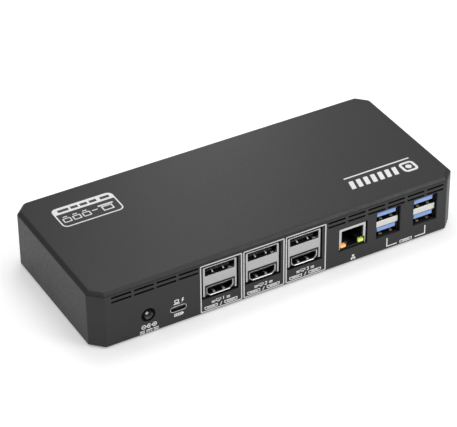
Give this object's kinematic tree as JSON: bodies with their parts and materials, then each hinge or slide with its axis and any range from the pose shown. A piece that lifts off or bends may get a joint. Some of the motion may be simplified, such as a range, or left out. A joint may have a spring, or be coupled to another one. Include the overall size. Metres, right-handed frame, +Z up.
{
  "type": "laptop docking station",
  "caption": "Low charcoal box with chamfered corners; display, network, USB, host and power sockets in the rear wall, USB and headset sockets in front.",
  "frame": {"origin": "centre of the footprint, on the desk under the rubber feet", "axes": "+Z up, +X to the right seen from the front, front wall with the status lamp faces -Y, rear wall with the display sockets faces +Y"},
  "size_m": [0.21, 0.09, 0.033],
  "materials": {
    "cover_plastic": "fine-textured charcoal moulding",
    "base_plastic": "fine-textured charcoal moulding",
    "foot_rubber": "matt",
    "screw_steel": "dark zinc plated",
    "label_film": "satin silver film, blank",
    "circuit_board": "green solder mask",
    "heat_sink_aluminium": "satin extruded",
    "black_plastic": "semi-gloss moulded",
    "thermal_pad": "soft matt",
    "chip_plastic": "moulded",
    "ferrite": "matt",
    "capacitor_can": "satin",
    "capacitor_ceramic": "satin",
    "tinned_steel": "bright tin plate",
    "nickel_steel": "satin nickel plate",
    "usb_blue_plastic": "semi-gloss moulded",
    "gold_contact": "gold plated",
    "printed_ink": "white pad print",
    "lamp_amber": "clear amber lens",
    "lamp_green": "clear yellow-green lens",
    "lamp_white": "frosted lens"
  },
  "bodies": {
    "dock": {"top_cover": "cover_plastic", "base_cover": "base_plastic", "rubber_feet": "foot_rubber", "cover_screws": "screw_steel", "rating_label": "label_film", "main_board": "circuit_board", "board_screws": "screw_steel", "heat_sink": "heat_sink_aluminium", "heat_sink_pins": "black_plastic", "thermal_pads": "thermal_pad", "display_processors": "chip_plastic", "usb_hub_chips": "chip_plastic", "memory_chips": "chip_plastic", "network_chip": "chip_plastic", "power_chips": "chip_plastic", "network_transformer": "chip_plastic", "power_inductors": "ferrite", "round_capacitors": "capacitor_can", "chip_capacitors": "capacitor_ceramic", "crystals": "tinned_steel", "shield_can": "tinned_steel", "display_1_cage": "nickel_steel", "display_1_insulator": "black_plastic", "display_1_lower_shell": "nickel_steel", "display_1_contacts": "gold_contact", "display_2_cage": "nickel_steel", "display_2_insulator": "black_plastic", "display_2_lower_shell": "nickel_steel", "display_2_contacts": "gold_contact", "display_3_cage": "nickel_steel", "display_3_insulator": "black_plastic", "display_3_lower_shell": "nickel_steel", "display_3_contacts": "gold_contact", "network_shield": "nickel_steel", "network_body": "black_plastic", "network_lamp_amber": "lamp_amber", "network_lamp_green": "lamp_green", "usb_stack_1_cage": "nickel_steel", "usb_stack_1_insulator": "usb_blue_plastic", "usb_stack_1_contacts": "gold_contact", "usb_stack_2_cage": "nickel_steel", "usb_stack_2_insulator": "usb_blue_plastic", "usb_stack_2_contacts": "gold_contact", "front_usb_1_cage": "nickel_steel", "front_usb_1_insulator": "usb_blue_plastic", "front_usb_1_contacts": "gold_contact", "front_usb_2_cage": "nickel_steel", "front_usb_2_insulator": "usb_blue_plastic", "front_usb_2_contacts": "gold_contact", "host_port_shell": "nickel_steel", "host_port_tongue": "black_plastic", "power_socket_body": "black_plastic", "power_socket_pin": "nickel_steel", "audio_socket_body": "black_plastic", "status_lamp": "lamp_white", "lamp_light_pipe": "lamp_white"},
    "network_springs": {"network_contact_springs": "gold_contact"},
    "headset_spring": {"audio_socket_spring": "gold_contact"},
    "power_spring": {"power_socket_spring": "gold_contact"}
  },
  "joints": [
    {"name": "network_spring_flex", "type": "hinge", "parent": "dock", "child": "network_springs", "pos_m": [-0.0419, 0.0411, 0.02135], "axis": [-1, 0, 0], "range_deg": [0, 14]},
    {"name": "headset_spring_flex", "type": "hinge", "parent": "dock", "child": "headset_spring", "pos_m": [0.0752, -0.033, 0.01035], "axis": [0, 0, -1], "range_deg": [0, 7]},
    {"name": "power_spring_flex", "type": "hinge", "parent": "dock", "child": "power_spring", "pos_m": [0.0712, 0.0348, 0.0119], "axis": [0, 0, 1], "range_deg": [0, 7]}
  ]
}
